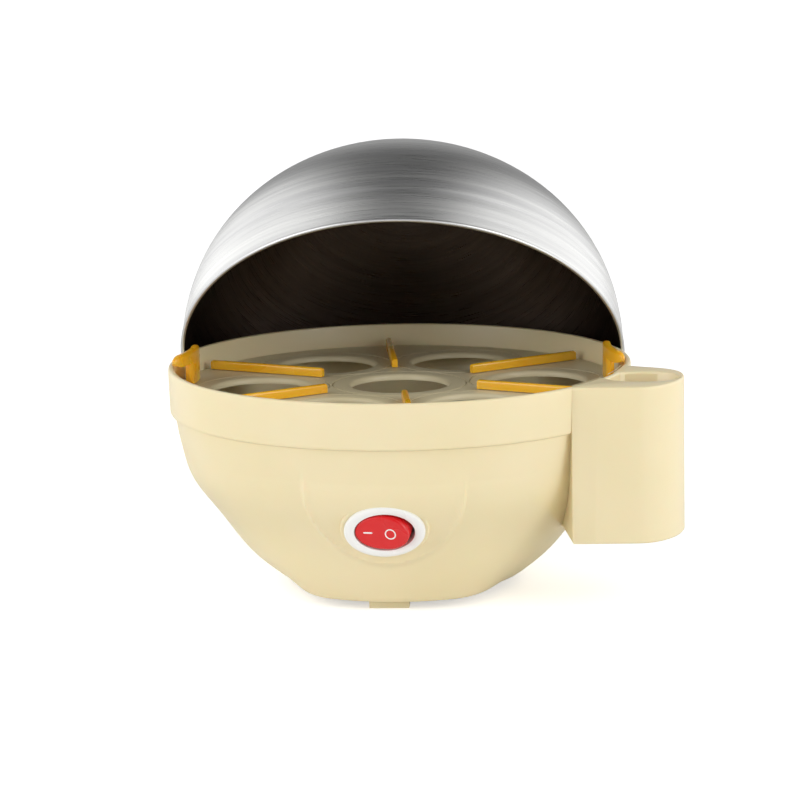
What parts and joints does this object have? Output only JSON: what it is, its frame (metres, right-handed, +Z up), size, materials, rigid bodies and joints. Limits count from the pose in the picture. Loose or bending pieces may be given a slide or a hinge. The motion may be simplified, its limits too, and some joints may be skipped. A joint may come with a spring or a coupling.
{
  "type": "egg cooker",
  "caption": "Round electric egg steamer: cream base with oval rocker switch and cup holder, lift-out egg tray with two grips, and a domed steel lid tipped open.",
  "frame": {"origin": "middle of the whole object's box at the surface it stands on, with the lid tipped open", "axes": "+Z up, the switch faces -Y, the cup holder points to +X and the lid is tipped back to +Y"},
  "size_m": [0.1828, 0.1918, 0.1553],
  "materials": {
    "cream_moulding": "moulded ABS, satin gloss",
    "amber_moulding": "amber moulded polycarbonate",
    "tray_moulding": "moulded polycarbonate, satin",
    "brushed_lid": "spun and brushed stainless steel",
    "plate_steel": "pressed stainless sheet",
    "screw_steel": "zinc plated",
    "dark_rubber": "moulded silicone rubber",
    "element_sheath": "heat-tinted sheath",
    "black_moulding": "moulded phenolic",
    "white_moulding": "moulded nylon, satin gloss",
    "red_moulding": "red polycarbonate",
    "wire_sleeve": "glass-silicone sleeve"
  },
  "bodies": {
    "base": {"base_shell": "cream_moulding", "bottom_cover": "cream_moulding", "foot_front": "cream_moulding", "foot_rear_left": "cream_moulding", "foot_rear_right": "cream_moulding", "heating_plate": "plate_steel", "element_clamp": "plate_steel", "cover_screw_1": "screw_steel", "cover_screw_2": "screw_steel", "cover_screw_3": "screw_steel", "plate_seal": "dark_rubber", "cord_gland": "dark_rubber", "heating_element": "element_sheath", "thermostat": "black_moulding", "switch_body": "black_moulding", "thermal_fuse": "white_moulding", "terminal_block": "white_moulding", "switch_bezel": "white_moulding", "lead_supply": "wire_sleeve", "lead_element": "wire_sleeve", "lead_return": "wire_sleeve"},
    "tray": {"egg_tray": "tray_moulding", "tray_grip_left": "amber_moulding", "tray_grip_right": "amber_moulding", "tray_fin_1": "amber_moulding", "tray_fin_2": "amber_moulding", "tray_fin_3": "amber_moulding", "tray_fin_4": "amber_moulding", "tray_fin_5": "amber_moulding", "tray_fin_6": "amber_moulding"},
    "lid": {"lid_shell": "brushed_lid", "lid_knob": "black_moulding", "knob_screw": "screw_steel", "knob_washer": "dark_rubber"},
    "rocker": {"rocker": "red_moulding"}
  },
  "joints": [
    {"name": "tray_lift", "type": "slide", "parent": "base", "child": "tray", "axis": [0, 0, 1], "range_m": [0, 0.08]},
    {"name": "lid_lift", "type": "slide", "parent": "tray", "child": "lid", "axis": [0, 0.7193, 0.6947], "range_m": [0, 0.12]},
    {"name": "rocker_tilt", "type": "hinge", "parent": "base", "child": "rocker", "pos_m": [-0.0119, -0.08488, 0.03415], "axis": [0, -0.2756, 0.9613], "range_deg": [0, 20]}
  ]
}
